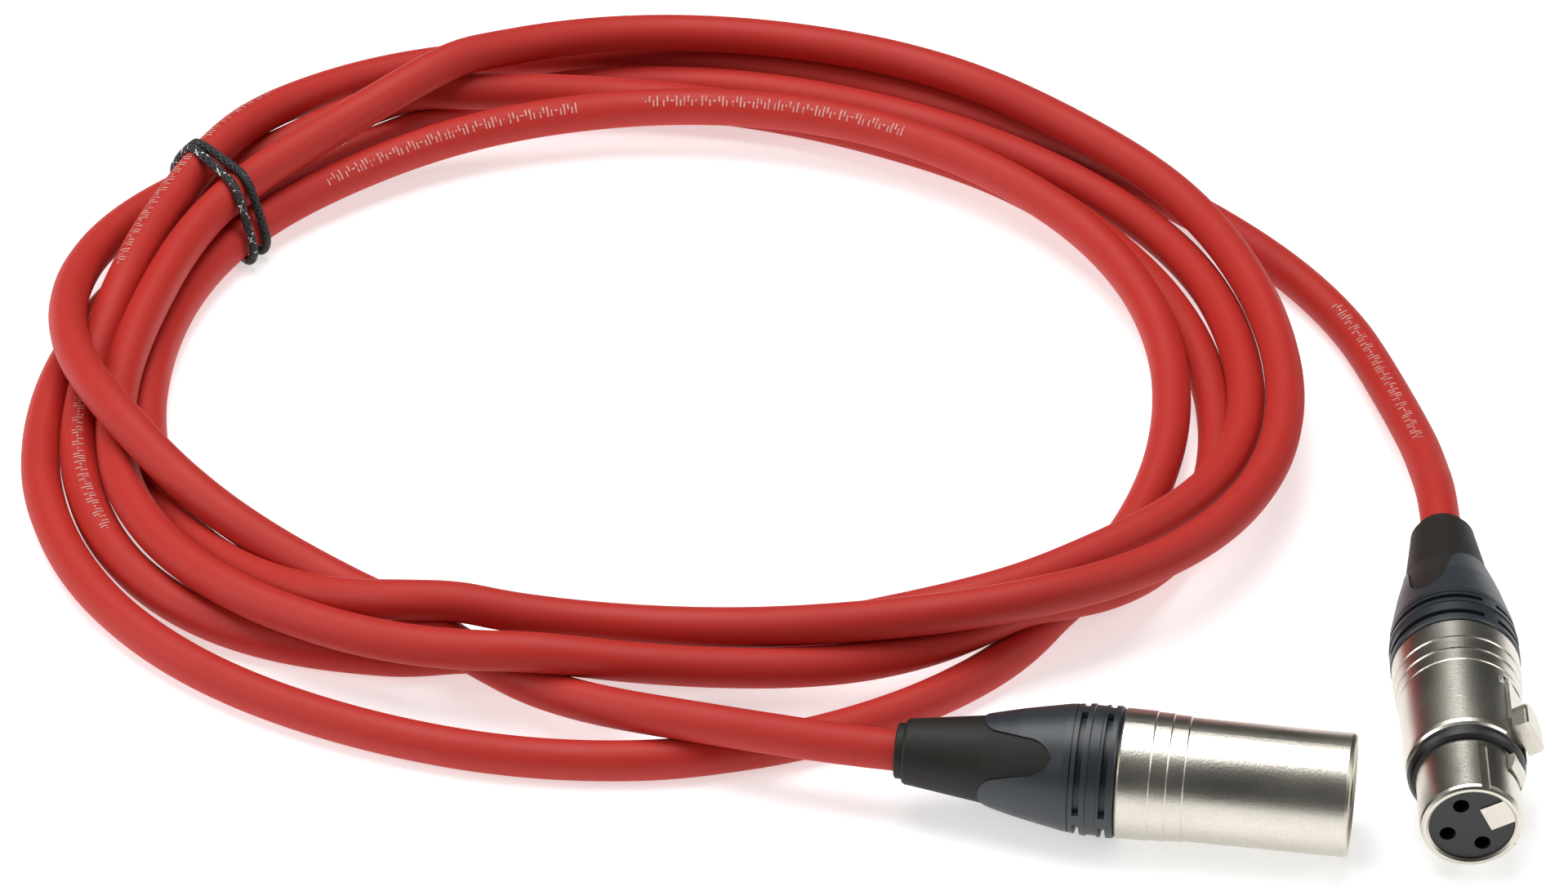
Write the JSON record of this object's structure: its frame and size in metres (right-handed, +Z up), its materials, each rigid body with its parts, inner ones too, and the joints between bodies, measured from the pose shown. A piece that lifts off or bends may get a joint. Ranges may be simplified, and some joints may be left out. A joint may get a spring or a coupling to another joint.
{
  "type": "coiled microphone cable",
  "caption": "Microphone cable in a loose round coil, held by an elastic tie, with a three-pin male connector on one end and a female one with a push latch on the other.",
  "frame": {"origin": "middle of the whole footprint, on the surface that the cable lies on", "axes": "+X along the longer side of the footprint, towards the side where the female connector lies; +Y away from both connectors; +Z up"},
  "size_m": [0.2387, 0.2214, 0.0203],
  "materials": {
    "cable_jacket": "matte red jacket",
    "elastic_cord": "braided",
    "nickel": "satin nickel",
    "contact_brass": "bright",
    "spring_steel": "satin",
    "insulator": "matte",
    "collar_plastic": "satin",
    "chuck_plastic": "matte",
    "rubber_black": "matte",
    "wire_screen": "bare strands",
    "wire_lead": "insulated"
  },
  "bodies": {
    "root": {"cable_coil": "cable_jacket", "cable_tail_male": "cable_jacket", "cable_tail_female": "cable_jacket", "cable_tie": "elastic_cord", "male_shell": "nickel", "female_shell": "nickel", "male_pin_1": "contact_brass", "male_pin_2": "contact_brass", "male_pin_3": "contact_brass", "female_contact_1": "contact_brass", "female_contact_2": "contact_brass", "female_contact_3": "contact_brass", "female_latch_pin": "spring_steel", "male_ground_clip": "spring_steel", "female_ground_clip": "spring_steel", "male_insert": "insulator", "female_insert": "insulator", "female_nose_ring": "rubber_black", "male_wire_1": "wire_screen", "female_wire_1": "wire_screen", "male_wire_2": "wire_lead", "female_wire_2": "wire_lead", "male_wire_3": "wire_lead", "female_wire_3": "wire_lead"},
    "male_chuck_body": {"male_chuck": "chuck_plastic"},
    "male_boot": {"male_boot_collar": "collar_plastic", "male_boot_sleeve": "rubber_black"},
    "female_chuck_body": {"female_chuck": "chuck_plastic"},
    "female_boot": {"female_boot_collar": "collar_plastic", "female_boot_sleeve": "rubber_black"},
    "latch_body": {"female_latch": "nickel", "female_latch_spring": "spring_steel"}
  },
  "joints": [
    {"name": "male_chuck_slide", "type": "slide", "parent": "root", "child": "male_chuck_body", "axis": [-0.9879, 0.155, 0], "range_m": [0, 0.0036]},
    {"name": "male_boot_turn", "type": "hinge", "parent": "male_chuck_body", "child": "male_boot", "pos_m": [0.04036, -0.09369, 0.0102], "axis": [-0.9879, 0.155, 0], "range_deg": [0, 1080]},
    {"name": "female_chuck_slide", "type": "slide", "parent": "root", "child": "female_chuck_body", "axis": [0.01, 1, 0], "range_m": [0, 0.0036]},
    {"name": "female_boot_turn", "type": "hinge", "parent": "female_chuck_body", "child": "female_boot", "pos_m": [0.10789, -0.0562, 0.0102], "axis": [0.01, 1, 0], "range_deg": [0, 1080]},
    {"name": "latch_press", "type": "hinge", "parent": "root", "child": "latch_body", "pos_m": [0.11483, -0.08277, 0.01388], "axis": [0.454, -0.005, -0.891], "range_deg": [0, 4], "stiffness_Nm_per_rad": 0.5}
  ],
  "couplings": [
    {"joint": "male_boot_turn", "follows": "male_chuck_slide", "rad_per_m": 5236},
    {"joint": "female_boot_turn", "follows": "female_chuck_slide", "rad_per_m": 5236}
  ]
}
